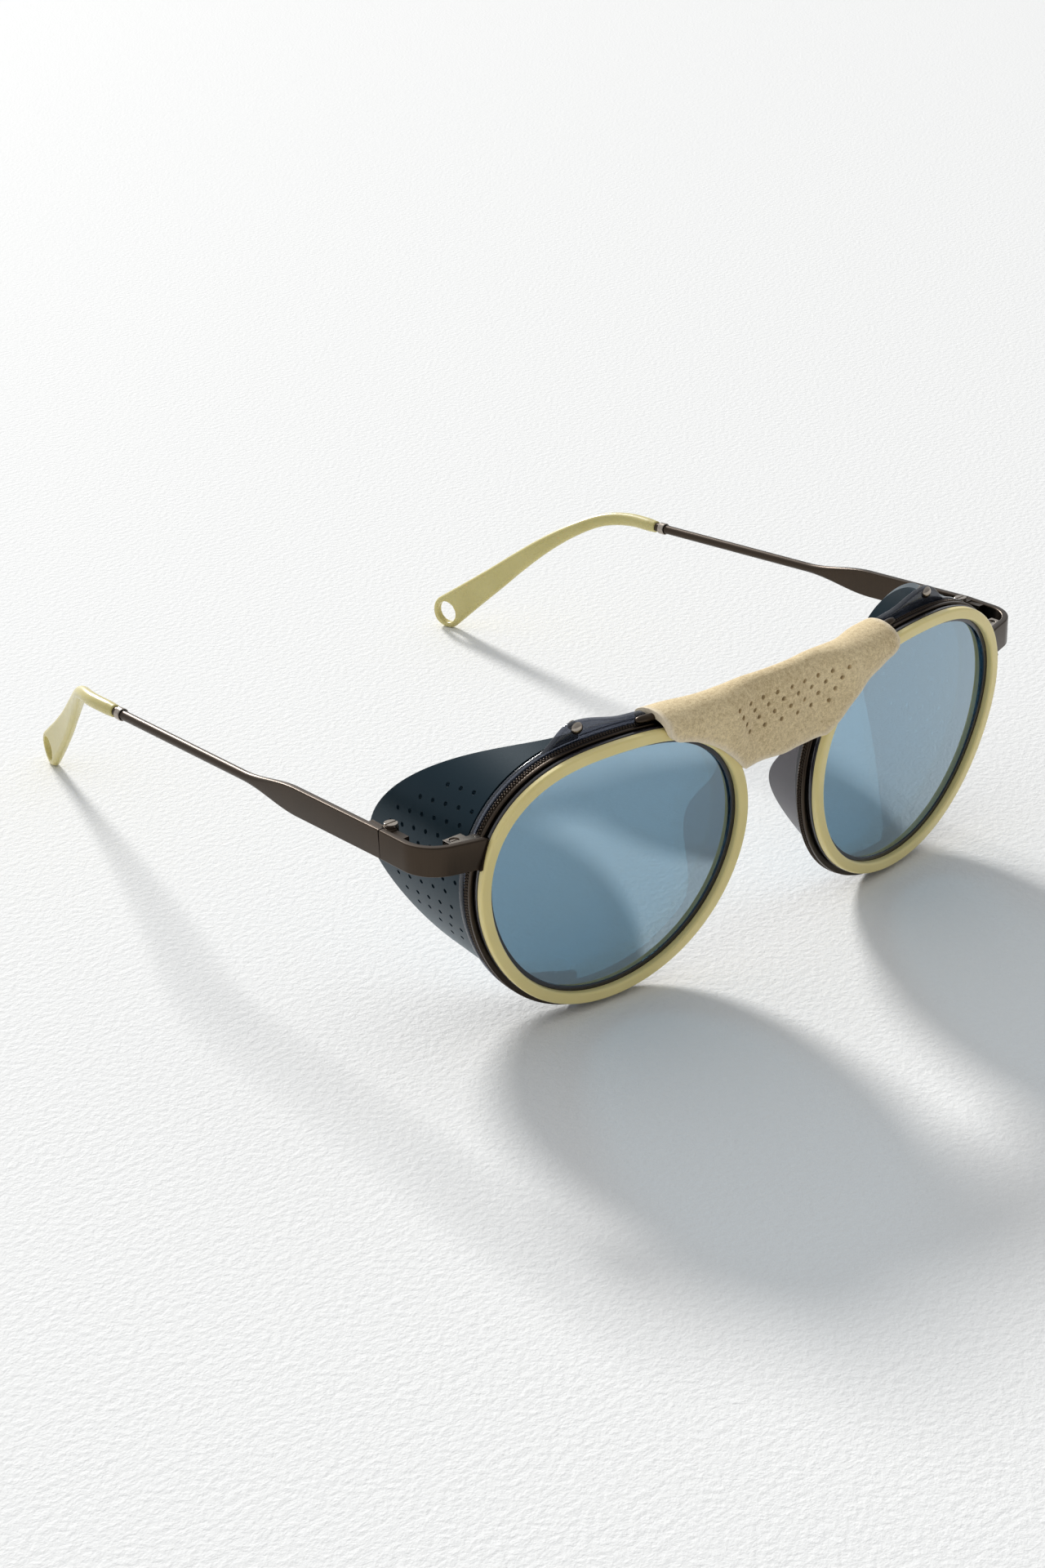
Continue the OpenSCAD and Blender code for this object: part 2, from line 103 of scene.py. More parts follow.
class Finish:  # a material and the nodes in it
    def __init__(self, name):
        self.material = bpy.data.materials.new(name)
        self.material.use_nodes = True
        self.tree = self.material.node_tree
        self.tree.nodes.clear()

    def node(self, kind, settings=None, inputs=None, output=0):
        made = self.tree.nodes.new("ShaderNode" + kind)
        for key, given in (settings or {}).items():
            if key == "stops":
                for element, (place, colour) in zip(made.color_ramp.elements, given):
                    element.position, element.color = place, (*colour, 1)
            else:
                setattr(made, key, given)
        for slot, given in (inputs or {}).items():
            link(self.tree, made.inputs[slot], given)
        return Value(self.tree, made.outputs[output])

    def place(self):
        return self.node("TexCoord", output="Object")

    def stretched(self, scale):
        return self.node("Mapping", inputs={"Vector": self.place(), "Scale": scale})

    def noise(self, scale, detail=3.0, roughness=0.5, vector=None):
        return self.node("TexNoise", inputs={"Vector": vector or self.place(), "Scale": scale, "Detail": detail,
                                             "Roughness": roughness})

    def mix(self, share, first, second):
        made = self.tree.nodes.new("ShaderNodeMix")
        made.data_type = "RGBA"
        link(self.tree, made.inputs[0], share)
        for slot, given in ((6, first), (7, second)):
            link(self.tree, made.inputs[slot], given if isinstance(given, Value) else (*given, 1))
        return Value(self.tree, made.outputs[2])

    def bump(self, height, distance, strength=1.0):
        return self.node("Bump", inputs={"Height": height, "Distance": distance, "Strength": strength})

    def principled(self, **inputs):
        return self.node("BsdfPrincipled", inputs={key.replace("_", " "): given for key, given in inputs.items()})

    def done(self, shader):
        out = self.tree.nodes.new("ShaderNodeOutputMaterial")
        self.tree.links.new(shader.socket, out.inputs["Surface"])
        return self.material


creamLook = {"ring": ((0.90, 0.77, 0.35), (0.80, 0.66, 0.27)), "tip": ((0.68, 0.60, 0.25), (0.56, 0.48, 0.17)),
             "roughness": 0.3}  # pale and deep shade of each part


def creamPlastic(part):
    f = Finish("cream " + part)
    pale, deep = creamLook[part]
    cloud = f.noise(120.0, 2.0)
    grain = f.noise(9000.0, 2.0)
    colour = f.mix(cloud, deep, pale)
    return f.done(f.principled(
        Base_Color=colour, Roughness=creamLook["roughness"] + grain * 0.08, Coat_Weight=0.25, Coat_Roughness=0.2,
        Subsurface_Weight=0.15, Subsurface_Radius=(1.0, 0.8, 0.35), Subsurface_Scale=0.0012,
        Normal=f.bump(grain, 0.000004)))


bronzeLook = {"face": (0.044, 0.035, 0.027), "warm": (0.074, 0.053, 0.038), "roughness": 0.27}


def bronzeMetal():
    f = Finish("dark bronze")
    upright = f.noise(1.0, 3.0, 0.6, f.stretched((7000.0, 7000.0, 350.0)))  # fine brushing, upright
    worn = f.noise(160.0, 3.0)
    colour = f.mix(upright * 0.6 + worn * 0.4, bronzeLook["face"], bronzeLook["warm"])
    return f.done(f.principled(
        Base_Color=colour, Metallic=1.0, Roughness=bronzeLook["roughness"] + upright * 0.12,
        Normal=f.bump(upright, 0.0000025)))


polishedLook = {"dark": (0.30, 0.26, 0.22), "pale": (0.50, 0.44, 0.38), "roughness": 0.14}


def polishedMetal():
    f = Finish("polished metal")
    cloud = f.noise(700.0, 3.0)
    colour = f.mix(cloud, polishedLook["dark"], polishedLook["pale"])
    return f.done(f.principled(
        Base_Color=colour, Metallic=1.0, Roughness=polishedLook["roughness"] + cloud * 0.12,
        Normal=f.bump(cloud, 0.00001)))


def clearPlastic(name, tint, body, share, roughness):
    # Glossy plastic: tint is the light it lets through, body its own colour, share how much passes
    f = Finish(name)
    cloud = f.noise(200.0, 2.0)
    shell = f.principled(
        Base_Color=f.mix(cloud, body, tuple(c * 1.5 for c in body)), Roughness=roughness + cloud * 0.06,
        Coat_Weight=0.6, Coat_Roughness=0.06, IOR=1.5)
    clear = f.node("BsdfTransparent", inputs={"Color": (*tint, 1)})
    return f.done(f.node("MixShader", inputs={0: 1 - share * (0.85 + cloud * 0.3), 1: clear, 2: shell}))


wingLook = {"dark": (0.004, 0.014, 0.021), "pale": (0.010, 0.025, 0.036), "roughness": 0.33}


def wingSkin():
    f = Finish("slate wing")
    cell = f.node("TexVoronoi", {"feature": "DISTANCE_TO_EDGE"}, {"Vector": f.place(), "Scale": 5200.0})
    cloud = f.noise(90.0, 3.0)
    pores = f.noise(5200.0, 3.0, 0.6)
    colour = f.mix(cloud * 0.5 + pores * 0.5, wingLook["dark"], wingLook["pale"])
    return f.done(f.principled(
        Base_Color=colour, Roughness=wingLook["roughness"] + pores * 0.14,
        Sheen_Weight=0.3, Sheen_Roughness=0.3, Sheen_Tint=(0.75, 0.9, 1.0, 1),
        Specular_IOR_Level=0.22, Specular_Tint=(0.5, 0.78, 1.0, 1),
        Normal=f.bump(cell + pores * 0.3, 0.000012, 0.5)))


lensLook = {"tint": (0.28, 0.44, 0.52), "mirror": (0.70, 0.87, 0.98), "deep": (0.62, 0.82, 0.98), "least": 0.4,
            "most": 0.5}


def tintedGlass():  # clear tint under a mirror whose share grows towards the edge of sight
    f = Finish("blue lens")
    haze = f.noise(55.0, 2.0)
    facing = f.node("LayerWeight", inputs={"Blend": 0.28}, output="Facing")
    share = lensLook["least"] + haze * 0.03 + facing ** 2.2 * lensLook["most"]
    clear = f.node("BsdfTransparent", inputs={"Color": (*lensLook["tint"], 1)})
    mirror = f.principled(
        Base_Color=f.mix(haze, lensLook["mirror"], lensLook["deep"]), Metallic=1.0, Roughness=0.015 + haze * 0.03)
    return f.done(f.node("MixShader", inputs={0: share, 1: clear, 2: mirror}))


# edge is a pale colour painted along the hide's rolled edge as a highlight
suedeLook = {"dark": (0.56, 0.415, 0.215), "pale": (0.96, 0.79, 0.49), "edge": (0.97, 0.85, 0.67)}


def suedeSkin():  # the mesh's own rim attribute is 1 along the cut edge; there the pale edge colour is mixed in as a painted highlight on the rolled edge
    f = Finish("tan suede")
    nap = f.noise(4200.0, 4.0, 0.7)
    patches = f.noise(1500.0, 3.0, 0.6)
    cloud = f.noise(60.0, 3.0)
    fibre = f.noise(1.0, 3.0, 0.6, f.stretched((5200.0, 5200.0, 2200.0)))
    rim = f.node("Attribute", {"attribute_name": "rim"}, output="Fac")
    shade = nap * 0.5 + patches * 0.35 + cloud * 0.15
    ramp = f.node("ValToRGB", {"stops": ((0.38, suedeLook["dark"]), (0.6, suedeLook["pale"]))}, {"Fac": shade})
    # Painted highlight: the pale edge colour is mixed in along the rim
    colour = f.mix(rim * 0.75, ramp, suedeLook["edge"])
    return f.done(f.principled(
        Base_Color=colour, Roughness=0.88 - rim * 0.2, Sheen_Weight=0.3, Sheen_Roughness=0.45,
        Sheen_Tint=(1.0, 0.93, 0.82, 1), Specular_IOR_Level=0.25,
        Normal=f.bump(nap + fibre * 0.6 + patches, 0.00012, 0.7)))


paperLook = {"dark": (0.885, 0.888, 0.885), "pale": (0.905, 0.908, 0.905)}


def paper():
    f = Finish("paper floor")
    lumps = f.noise(820.0, 4.0, 0.5)
    fibres = f.noise(2300.0, 3.0, 0.6)
    colour = f.mix(lumps, paperLook["dark"], paperLook["pale"])
    return f.done(f.principled(Base_Color=colour, Roughness=0.8, Normal=f.bump(lumps + fibres * 0.35, 0.0006, 0.4)))


finishes = {  # material and slot
    "cream": (creamPlastic("ring"), "cream_plastic"),
    "tip": (creamPlastic("tip"), "cream_plastic"),
    "bronze": (bronzeMetal(), "bronze_metal"),
    "polished": (polishedMetal(), "polished_metal"),
    "smoke": (clearPlastic("smoke plastic", (0.30, 0.28, 0.33), (0.016, 0.014, 0.018), 0.12, 0.12), "smoke_plastic"),
    "fin": (clearPlastic("smoke fin", (0.55, 0.52, 0.55), (0.045, 0.042, 0.050), 0.35, 0.22), "smoke_plastic"),
    "navy": (clearPlastic("navy plastic", (0.55, 0.58, 0.66), (0.035, 0.040, 0.052), 0.45, 0.1), "navy_plastic"),
    "wing": (wingSkin(), "slate_wing"),
    "lens": (tintedGlass(), "tinted_glass"),
    "suede": (suedeSkin(), "suede"),
}
print("finishes made")


def gridFaces(rows, cols, closeRows=False, closeCols=False, start=0):
    # Quads between neighbours of a grid of rows x cols points, wrapped where a way round is closed
    i, j = np.meshgrid(np.arange(rows if closeRows else rows - 1), np.arange(cols if closeCols else cols - 1),
                       indexing="ij")
    below, after = (i + 1) % rows, (j + 1) % cols
    quads = [i * cols + j, i * cols + after, below * cols + after, below * cols + j]
    return start + np.stack(quads, -1).reshape(-1, 4)


def makePiece(name, points, faces, finish, body, nodes, side=1, sharp=None, rim=None, modifiers=()):
    # points in millimetres, (n, 3); faces a list of arrays of rows of indices; side -1 mirrors across the middle
    points = np.asarray(points, float).reshape(-1, 3) * (side * mm, mm, mm)
    mesh = bpy.data.meshes.new(name)
    mesh.from_pydata(points.tolist(), [], [list(face) for group in faces for face in np.asarray(group).tolist()])
    if rim is not None:
        mesh.attributes.new("rim", "FLOAT", "POINT").data.foreach_set("value", np.asarray(rim, np.float32))
    turnOut(mesh)
    mesh.shade_smooth()
    if sharp:
        mesh.set_sharp_from_angle(angle=math.radians(sharp))
    piece = bpy.data.objects.new(name, mesh)
    bpy.context.scene.collection.objects.link(piece)
    return dress(piece, finish, body, nodes, modifiers)


def turnOut(mesh):  # joins points that coincide and turns faces outwards
    work = bmesh.new()
    work.from_mesh(mesh)
    bmesh.ops.remove_doubles(work, verts=work.verts, dist=1e-7)
    bmesh.ops.recalc_face_normals(work, faces=work.faces)
    work.to_mesh(mesh)
    work.free()


def dress(piece, finish, body, nodes, modifiers=()):
    material, slot = finishes[finish]
    piece.data.materials.clear()
    piece.data.materials.append(material)
    for kind, settings in modifiers:
        modifier = piece.modifiers.new(kind.title(), kind)
        for key, given in settings.items():
            setattr(modifier, key, given)
    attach(piece, body)
    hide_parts(*nodes)
    return piece


def bevel(width, segments=2, angle=35):
    return ("BEVEL", {"width": width * mm, "segments": segments, "limit_method": "ANGLE",
                      "angle_limit": math.radians(angle)})


def softened(node, finish, width):  # a merged copy of a CAD node with its edges rounded
    source = frame["nodes"][node]
    mesh = source.data.copy()
    mesh.name = node + "_finished"
    turnOut(mesh)
    work = bmesh.new()
    work.from_mesh(mesh)
    bmesh.ops.dissolve_limit(work, angle_limit=math.radians(1.0), verts=work.verts, edges=work.edges)
    work.to_mesh(mesh)
    work.free()
    mesh.shade_smooth()
    mesh.set_sharp_from_angle(angle=math.radians(32))
    piece = bpy.data.objects.new(node + "_finished", mesh)
    bpy.context.scene.collection.objects.link(piece)
    return dress(piece, finish, source["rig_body"], [node], [bevel(width)])


def unit(vector):
    return vector / np.linalg.norm(vector)


def roundLoop(corners, steps=5):
    # Closed outline through corners (x, y, radius, tag...). Each corner is an arc that touches both its sides, so it
    # starts radius / tan(half the corner's angle) from the corner. Tags are carried along.
    out = []
    count = len(corners)
    for k in range(count):
        before, here, after = (np.array(corners[(k + s) % count][:2], float) for s in (-1, 0, 1))
        radius, tags = corners[k][2], corners[k][3:]
        to, on = unit(before - here), unit(after - here)
        half = math.acos(np.clip(to @ on, -1, 1)) / 2
        reach = radius / math.tan(half)
        middle = here + unit(to + on) * radius / math.sin(half)
        first, last = here + to * reach - middle, here + on * reach - middle
        t = np.linspace(0, 1, steps)[:, None]
        spoke = first * (1 - t) + last * t
        arc = middle + spoke / np.linalg.norm(spoke, axis=1)[:, None] * radius
        out.append(np.hstack([arc, np.tile(tags, (steps, 1))]))
    return np.vstack(out)


outline = {"radius": 26.0, "oval": 0.048, "pear": 0.036, "square": 0.012, "lean": 0.004}
lensPlace = {"x": 35.1, "wrap": math.radians(6.4), "tilt": math.radians(5)}
# Depths behind the front of the rim at which parts start and end
depths = {"lip": 0.8, "wireFrom": 1.1, "wireTo": 2.7, "carrierFrom": 3.0, "carrierTo": 4.2, "seat": 3.05,
          "inner": 4.1, "wing": 4.85}
wireMiddle = (depths["wireFrom"] + depths["wireTo"]) / 2
extraLow = 0.85  # how much further the metal and the carrier stand out below


def rimRadius(a):  # a circle with a few waves added: wider than tall, full above, narrow below
    o = outline
    return o["radius"] * (1 + o["oval"] * np.cos(2 * a) + o["lean"] * np.sin(2 * a) + o["pear"] * np.sin(3 * a)
                          - o["square"] * np.cos(4 * a) + o["lean"] * np.sin(4 * a))


def rimPoint(a, off):  # the outline at angle a, moved off along its outward normal; the slope is a small difference
    step = 1e-4
    r, slope = rimRadius(a), (rimRadius(a + step) - rimRadius(a - step)) / (2 * step)
    tx, ty = slope * np.cos(a) - r * np.sin(a), slope * np.sin(a) + r * np.cos(a)
    size = np.hypot(tx, ty)
    return r * np.cos(a) + off * ty / size, r * np.sin(a) - off * tx / size


def tilted(x, y, v):  # from the tilted plane of both lenses to the frame
    t = lensPlace["tilt"]
    return np.stack(np.broadcast_arrays(
        x, y * np.cos(t) - v * np.sin(t) + originY, y * np.sin(t) + v * np.cos(t) + lensZ), -1)


def behindLens(u, d, v):  # u across, v up, d back from one lens, to the frame
    w = lensPlace["wrap"]
    return tilted(lensPlace["x"] + u * np.cos(w) - d * np.sin(w), u * np.sin(w) + d * np.cos(w), v)


def onRim(a, off, d):  # angle round the lens, distance off the outline and depth, to the frame
    u, v = rimPoint(a, off)
    return behindLens(u, d, v)


def lowness(a):  # 0 at the top, extraLow at the bottom
    return extraLow * (1 - np.sin(a)) / 2


def smooth(x):  # an even step from 0 to 1
    c = np.clip(x, 0, 1)
    return c * c * (3 - 2 * c)


def blendTo(a, b, t):
    return a + (b - a) * t


def around(count, start=0.0, end=2 * math.pi, closed=True):  # angles, without the last where the way is closed
    return np.linspace(start, end, count, endpoint=not closed)


def runAlong(points):  # length along a line of points, up to each point
    return np.concatenate([[0], np.cumsum(np.linalg.norm(np.diff(points, axis=0), axis=1))])


def capped(rows, cols):  # faces of a closed profile of cols points carried along rows, with both ends filled
    return [gridFaces(rows, cols, False, True), [list(range(cols))], [list(range((rows - 1) * cols, rows * cols))]]


def ringOf(name, side, loop, steps, finish):  # a closed profile (off, depth) carried right round the outline
    shape = (steps, len(loop))
    points = onRim(around(steps)[:, None], np.broadcast_to(loop[:, 0], shape), np.broadcast_to(loop[:, 1], shape))
    return makePiece(name + "_finished", points, [gridFaces(*shape, True, True)], finish, "frame", [name], side)


creamRing = {"width": 2.1, "thickness": 1.2, "outer": 0.45, "inner": 0.4, "back": 0.12, "crown": 0.06, "steps": 240}


def makeCreamRing(name, side):  # a rounded rectangle with a slight arch across its front, carried round the outline
    s = creamRing
    loop = roundLoop([(0, 0, s["back"]), (0, -s["thickness"], s["outer"]),
                      (-s["width"], -s["thickness"], s["inner"]), (-s["width"], 0, s["back"])], 7)
    arch = s["crown"] * np.sin(np.pi * np.clip(-loop[:, 0] / s["width"], 0, 1))
    loop[:, 1] -= arch * (loop[:, 1] < -s["thickness"] / 2)
    return ringOf(name, side, loop, s["steps"], "cream")


smokeRim = {"front": 0.03, "lipOut": 0.1, "gasketIn": -2.85, "gasketTo": 0.36, "groove": -1.12, "wall": -0.45,
            "seatIn": -2.0, "round": 0.14, "steps": 200}


def makeSmokeRim(name, side):  # one closed profile round the outline: lip, gasket, lens groove, seat and outer wall
    s = smokeRim
    loop = roundLoop([
        (s["lipOut"], s["front"], 0.1), (s["gasketIn"], s["front"], 0.08), (s["gasketIn"], s["gasketTo"], 0.1),
        (s["groove"], s["gasketTo"], 0.05), (s["groove"], depths["seat"], 0.06),
        (s["seatIn"], depths["seat"], s["round"]), (s["seatIn"], depths["inner"], 0.3),
        (s["wall"], depths["inner"], s["round"]), (s["wall"], depths["lip"] + 0.05, 0.06),
        (s["lipOut"], depths["lip"], 0.28)], 5)
    return ringOf(name, side, loop, s["steps"], "smoke")


eyewire = {"inside": -0.45, "band": 0.35, "ledge": 0.2, "bandTo": 1.72, "slit": 0.3, "slitAngle": math.radians(22.5),
           "steps": 240, "rows": (2.02, 2.5), "pitch": 0.56, "bead": 0.26, "beadsOff": 0.02, "beadsFrom": 0.03}


def fromSlit(count, clear):  # angles once round the rim, from one side of the eyewire's slit to the other
    return around(count, eyewire["slitAngle"] + clear, eyewire["slitAngle"] + 2 * math.pi - clear, False)


def makeEyewire(name, side):
    # A stepped profile from one side of the slit round to the other, further out the lower it gets. The beads sit on
    # the step in two rows, a pitch apart along the rim, the second row half a pitch on.
    s = eyewire
    front, back = depths["wireFrom"], depths["wireTo"]
    loop = roundLoop([
        (s["inside"], front, 0.1, 0), (s["inside"], back, 0.1, 0), (s["ledge"], back, 0.1, 1),
        (s["ledge"], s["bandTo"] + 0.04, 0.05, 1), (s["band"], s["bandTo"], 0.12, 1), (s["band"], front, 0.16, 1)], 4)
    a = fromSlit(s["steps"], s["slit"] / outline["radius"] / 2)[:, None]
    off = loop[:, 0] + loop[:, 2] * lowness(a)
    points = [onRim(a, off, np.broadcast_to(loop[:, 1], off.shape)).reshape(-1, 3)]
    faces = capped(s["steps"], len(loop))
    fine = fromSlit(2000, s["beadsFrom"])
    run = runAlong(np.stack(rimPoint(fine, s["ledge"] + lowness(fine)), -1))
    count = int(run[-1] / s["pitch"])
    ball, ballFaces = beadBall(s["bead"])
    start = len(points[0])
    for row, depth in enumerate(s["rows"]):
        at = np.interp((np.arange(count) + 0.5 * row) * s["pitch"], run, fine)
        centre = onRim(at, s["ledge"] + lowness(at) + s["beadsOff"], np.full(count, depth))
        points.append((centre[:, None] + ball).reshape(-1, 3))
        faces += [start + face + len(ball) * np.arange(count)[:, None] for face in ballFaces]
        start += count * len(ball)
    return makePiece(name + "_finished", np.vstack(points), faces, "bronze", "frame", [name], side, 50)


def beadBall(radius, turns=6, rings=3):  # a small ball of few faces: its points, then each face's indices
    theta = np.pi * np.arange(1, rings + 1) / (rings + 1)
    phi = 2 * np.pi * np.arange(turns) / turns
    t, p = np.meshgrid(theta, phi, indexing="ij")
    ringPoints = np.stack([np.sin(t) * np.cos(p), np.sin(t) * np.sin(p), np.cos(t)], -1).reshape(-1, 3)
    points = np.vstack([ringPoints, [[0, 0, 1], [0, 0, -1]]]) * radius
    faces = list(gridFaces(rings, turns, False, True))
    top, bottom = rings * turns, rings * turns + 1
    for k in range(turns):
        faces.append(np.array([top, k, (k + 1) % turns]))
        faces.append(np.array([bottom, (rings - 1) * turns + (k + 1) % turns, (rings - 1) * turns + k]))
    return points, faces


lens = {"edge": -1.2, "apex": -1.4, "curve": 160.0, "thickness": 1.8, "rings": 20, "turns": 120}


def makeLens(name, side):  # front and back are the same part of a ball's surface, a thickness apart
    s = lens
    a = around(s["turns"])
    share = np.linspace(1, 0, s["rings"], endpoint=False)[:, None]
    u, v = rimPoint(a, s["edge"])
    u, v = u * share, v * share
    bulge = s["apex"] + s["curve"] - np.sqrt(s["curve"] ** 2 - u ** 2 - v ** 2)
    front = behindLens(u, bulge, v).reshape(-1, 3)
    back = behindLens(u, bulge + s["thickness"], v).reshape(-1, 3)
    poles = [behindLens(0.0, s["apex"], 0.0), behindLens(0.0, s["apex"] + s["thickness"], 0.0)]
    size = len(front)
    ring = np.arange(s["turns"])
    after = (ring + 1) % s["turns"]
    inner = (s["rings"] - 1) * s["turns"]
    faces = [gridFaces(s["rings"], s["turns"], False, True), gridFaces(s["rings"], s["turns"], False, True, size),
             np.stack([inner + ring, inner + after, np.full_like(ring, 2 * size)], -1),
             np.stack([size + inner + ring, size + inner + after, np.full_like(ring, 2 * size + 1)], -1),
             np.stack([ring, after, size + after, size + ring], -1)]
    return makePiece(name + "_finished", np.vstack([front, back, poles]), faces, "lens", "frame", [name], side, 40)


carrier = {"from": math.radians(-82), "to": math.radians(108), "off": 0.5, "in": -0.37, "slab": 4.8, "slabIn": -1.5,
           "slabFrom": 4.12, "steps": 150, "pinAngle": math.radians(74.5), "tab": 3.0, "deeper": 1.9,
           "endRun": 1.2, "endMiddle": -0.5, "endShare": 0.25}


def carrierTab(a):  # stands out at the pin: rises over 14 degrees and falls by six tenths over 24
    deg = np.degrees(a)
    return carrier["tab"] * smooth((deg - 59) / 14) * (1 - 0.6 * smooth((deg - 74) / 24))


def makeCarrier(name, side):
    # A band and a slab inside it, as one profile along part of the rim. Its ends narrow along a quarter of an ellipse.
    s = carrier
    f, t = depths["carrierFrom"], depths["carrierTo"]
    loop = roundLoop([
        (s["in"], f, 0.08, 0, 0), (s["off"], f, 0.25, 1, 0), (s["off"], t, 0.35, 1, 0), (0.0, t, 0.1, 0, 0),
        (0.0, s["slab"], 0.15, 0, 0), (s["slabIn"], s["slab"], 0.2, 0, 1), (s["slabIn"], s["slabFrom"], 0.1, 0, 1),
        (s["in"], s["slabFrom"], 0.05, 0, 0)], 4)
    a = around(s["steps"], s["from"], s["to"], False)[:, None]
    out = lowness(a) + carrierTab(a)
    inwards = -s["deeper"] * smooth((-45 - np.degrees(a)) / 25)  # the slab reaches further in below
    end = np.minimum(a - s["from"], s["to"] - a) * outline["radius"]  # run from the nearer end
    narrow = np.sqrt(1 - np.clip(1 - end / s["endRun"], 0, 1) ** 2)
    off = loop[:, 0] + loop[:, 2] * out + loop[:, 3] * inwards
    off = s["endMiddle"] + (off - s["endMiddle"]) * blendTo(s["endShare"], 1, narrow)
    points = onRim(a, off, np.broadcast_to(loop[:, 1], off.shape))
    return makePiece(name + "_finished", points, capped(*off.shape), "navy", "frame", [name], side, 45)


pin = {"off": 2.6, "turns": 32,
       "profile": ((0.02, 2.28), (0.5, 2.32), (0.85, 2.5), (1.08, 2.78), (1.12, 2.98), (0.42, 3.02), (0.42, 4.2),
                   (0.8, 4.22), (0.8, 4.42), (0.55, 4.52), (0.02, 4.54))}


def makePin(name, side):  # a profile of radius and depth turned round the pin's axis
    s = pin
    u, v = rimPoint(carrier["pinAngle"], s["off"])
    radius, depth = np.array(s["profile"]).T
    phi = around(s["turns"])[:, None]
    points = behindLens(u + radius * np.cos(phi), np.broadcast_to(depth, (s["turns"], len(depth))),
                        v + radius * np.sin(phi))
    rows, cols = points.shape[:2]
    first = np.arange(rows) * cols
    faces = [gridFaces(rows, cols, True, False), [first.tolist()], [(first + cols - 1).tolist()]]
    return makePiece(name + "_finished", points, faces, "polished", "frame", [name], side, 50)


sheetMesh = {"sides": 14, "halo": 0.28, "clear": 0.5}


def nearest(points, others):  # distance from each point to the nearest of the others
    return np.linalg.norm(points[:, None] - others, axis=2).min(1)


def triangulate(edge, inside, holes, radius, spacing):
    # A flat sheet with round holes, as triangles: its edge, two rings round each hole and a grid between, of which
    # only the triangles whose middles are inside the edge and outside the holes stay
    s = sheetMesh
    sides, holes = s["sides"], np.array(holes, float)
    phi = around(sides)
    circle = np.stack([np.cos(phi), np.sin(phi)], -1)
    rings = (holes[:, None] + circle * radius).reshape(-1, 2)
    halo = (holes[:, None] + circle * (radius + s["halo"])).reshape(-1, 2)
    low, high = edge.min(0), edge.max(0)
    gx, gy = np.meshgrid(np.arange(low[0], high[0], spacing), np.arange(low[1], high[1], spacing), indexing="ij")
    gx = gx + np.where(np.arange(gx.shape[1]) % 2, spacing / 2, 0)
    fill = np.stack([gx.ravel(), gy.ravel()], -1)
    fill = fill[(nearest(fill, edge) > spacing / 2) & (nearest(fill, holes) > radius + s["clear"]) & inside(fill)]
    points = np.vstack([edge, rings, halo, fill])
    count = len(edge)
    edges = [(k, (k + 1) % count) for k in range(count)]
    for start in range(count, count + len(rings), sides):
        edges += [(start + k, start + (k + 1) % sides) for k in range(sides)]
    flat, _, faces, _, _, _ = delaunay_2d_cdt([Vector(p) for p in points.tolist()], edges, [], 0, 1e-5)
    flat, faces = np.array([tuple(p) for p in flat]), np.array([f for f in faces if len(f) == 3])
    middle = flat[faces].mean(1)
    return flat, faces[inside(middle) & (nearest(middle, holes) > radius * 0.97)]


def thickSheet(outer, inner, triangles):
    # Two copies of a triangulated sheet joined round every edge that has one triangle
    count = len(outer)
    ways = np.concatenate([triangles[:, [0, 1]], triangles[:, [1, 2]], triangles[:, [2, 0]]])
    key, back = ways[:, 0] * count + ways[:, 1], ways[:, 1] * count + ways[:, 0]
    border = ways[~np.isin(key, back)]
    walls = np.stack([border[:, 1], border[:, 0], border[:, 0] + count, border[:, 1] + count], -1)
    return np.vstack([outer, inner]), [triangles, triangles[:, ::-1] + count, walls]


wing = {"from": math.radians(-77), "to": math.radians(78), "peak": -3, "fade": 76, "least": 1, "depth": 25.6,
        "softness": 0.1, "flare": 0.05, "off": 0.2, "thickness": 0.9, "hole": 0.42, "slant": 0.25, "slantFrom": 9}
# Rows of holes: how far along the rim, how far behind it the first hole is, the gap between holes and their count
wingHoles = ((50.6, 3.2, 2.9, 3), (47.5, 1.4, 3.0, 5), (44.8, 2.6, 3.05, 6), (42.2, 3.7, 3.1, 6), (39.8, 1.8, 3.2, 7),
             (37.3, 3.0, 3.3, 6), (34.9, 1.2, 3.4, 6), (32.5, 4.3, 3.55, 5), (29.5, 3.3, 3.5, 5), (26.9, 4.6, 3.45, 4),
             (24.4, 2.8, 3.4, 3), (22.0, 4.2, 3.3, 2))


def wingLength(a):
    # How far the wing reaches behind the carrier at angle a: greatest at the peak angle. Below it the reach falls
    # in a straight line that starts with a soft bend; above it falls along half a cosine wave.
    s = wing
    deg, low = np.degrees(a), math.degrees(s["from"])
    ramp = np.clip((s["peak"] - deg) / (s["peak"] - low), 0, 1)
    soft = s["softness"]
    below = 1 - (np.sqrt(ramp ** 2 + soft ** 2) - soft) / (math.sqrt(1 + soft ** 2) - soft)
    above = 0.5 + 0.5 * np.cos(np.pi * np.clip((deg - s["peak"]) / (s["fade"] - s["peak"]), 0, 1))
    return blendTo(s["least"], s["depth"], np.where(deg < s["peak"], below, above))


